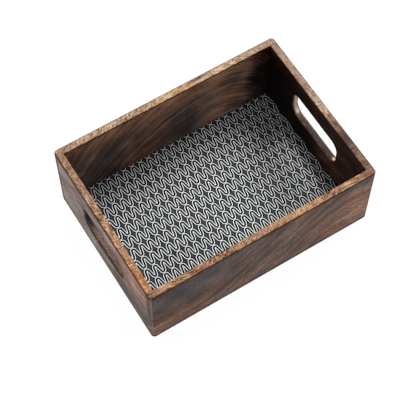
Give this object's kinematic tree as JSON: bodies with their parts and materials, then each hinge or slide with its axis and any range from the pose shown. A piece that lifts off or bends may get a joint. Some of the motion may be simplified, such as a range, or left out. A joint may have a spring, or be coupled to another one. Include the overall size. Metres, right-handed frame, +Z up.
{
  "type": "serving tray",
  "caption": "Deep rectangular wooden serving tray with a hand slot through each end board and a flat base faced with a wave-patterned sheet.",
  "frame": {"origin": "middle of the underside, on the surface that the tray stands on", "axes": "+X along the long side, +Y from the front long board to the back one, +Z up"},
  "size_m": [0.32, 0.232, 0.12],
  "materials": {
    "long_board_wood": "dark stain under satin lacquer, pale on the rim",
    "end_board_wood": "dark stain under satin lacquer, pale on the rim",
    "panel_wood": "plain sanded board",
    "printed_sheet": "charcoal with black and white waves, satin",
    "pin_steel": "plain wire"
  },
  "bodies": {
    "root": {"front_board": "long_board_wood", "back_board": "long_board_wood", "left_end_board": "end_board_wood", "right_end_board": "end_board_wood", "base_panel": "panel_wood", "pattern_sheet": "printed_sheet", "corner_pins": "pin_steel"}
  },
  "joints": []
}
